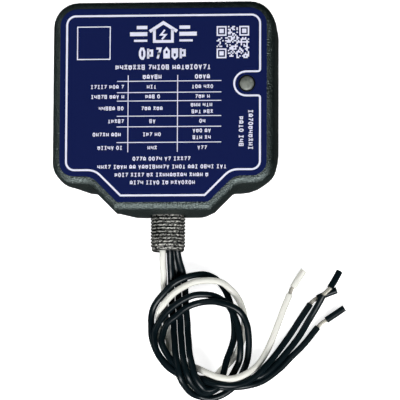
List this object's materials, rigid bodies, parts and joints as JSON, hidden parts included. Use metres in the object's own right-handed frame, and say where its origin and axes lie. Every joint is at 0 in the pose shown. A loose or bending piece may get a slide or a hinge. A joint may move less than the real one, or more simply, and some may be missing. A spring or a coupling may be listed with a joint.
{
  "type": "whole house surge protector",
  "caption": "Flat plastic surge protector housing with a face label, status lens, threaded conduit nipple and looped wire leads with stripped ends.",
  "frame": {"origin": "centre of the housing's bounding box in plan, on the back face it lies on", "axes": "+Z out of the labelled front face, +Y away from the conduit nipple towards the top of the label, +X to the right as the label is read"},
  "size_m": [0.1738, 0.237, 0.0512],
  "materials": {
    "housing": "fine texture",
    "gasket": "matt",
    "label": "satin printed film",
    "bezel": "satin",
    "lens": "cloudy translucent",
    "led": "clear tinted",
    "nylon": "plain",
    "nipple": "fine texture",
    "potting": "poured",
    "board": "solder mask",
    "component": "moulded",
    "capacitor": "moulded",
    "resistor": "coated",
    "pvc_white": "smooth",
    "pvc_black": "smooth",
    "screw": "zinc plated",
    "tinned": "tinned",
    "varistor": "epoxy coated",
    "spring": "rolled"
  },
  "bodies": {
    "case": {"front_housing": "housing", "back_housing": "housing", "housing_gasket": "gasket", "face_label": "label", "lens_bezel": "bezel", "indicator_lens": "lens", "indicator_led": "led", "led_spacer": "nylon", "conduit_nipple": "nipple", "nipple_potting": "potting", "circuit_board": "board", "diode_bridge": "component", "film_capacitor": "capacitor", "resistor_1": "resistor", "resistor_2": "resistor", "inner_lead_white": "pvc_white", "inner_lead_black_1": "pvc_black", "inner_lead_black_2": "pvc_black", "inner_lead_black_3": "pvc_black", "housing_screw_1": "screw", "board_screw_1": "screw", "wire_terminal_1": "tinned", "housing_screw_2": "screw", "board_screw_2": "screw", "wire_terminal_2": "tinned", "housing_screw_3": "screw", "board_screw_3": "screw", "wire_terminal_3": "tinned", "housing_screw_4": "screw", "board_screw_4": "screw", "wire_terminal_4": "tinned", "varistor_1": "varistor", "varistor_contact_1": "tinned", "strip_post_1": "tinned", "varistor_2": "varistor", "varistor_contact_2": "tinned", "strip_post_2": "tinned", "varistor_3": "varistor", "varistor_contact_3": "tinned", "strip_post_3": "tinned", "lead_white": "pvc_white", "slug_white": "pvc_white", "strands_white": "tinned", "lead_black_1": "pvc_black", "slug_black_1": "pvc_black", "strands_black_1": "tinned", "lead_black_2": "pvc_black", "slug_black_2": "pvc_black", "strands_black_2": "tinned", "lead_black_3": "pvc_black", "slug_black_3": "pvc_black", "strands_black_3": "tinned"},
    "strip_1": {"disconnect_strip_1": "spring"},
    "strip_2": {"disconnect_strip_2": "spring"},
    "strip_3": {"disconnect_strip_3": "spring"}
  },
  "joints": [
    {"name": "strip_1_release", "type": "hinge", "parent": "case", "child": "strip_1", "pos_m": [-0.04, 0.0008, 0.02195], "axis": [1, 0, 0], "range_deg": [0, 20]},
    {"name": "strip_2_release", "type": "hinge", "parent": "case", "child": "strip_2", "pos_m": [-0.008, 0.0008, 0.02195], "axis": [1, 0, 0], "range_deg": [0, 20]},
    {"name": "strip_3_release", "type": "hinge", "parent": "case", "child": "strip_3", "pos_m": [0.024, 0.0008, 0.02195], "axis": [1, 0, 0], "range_deg": [0, 20]}
  ]
}
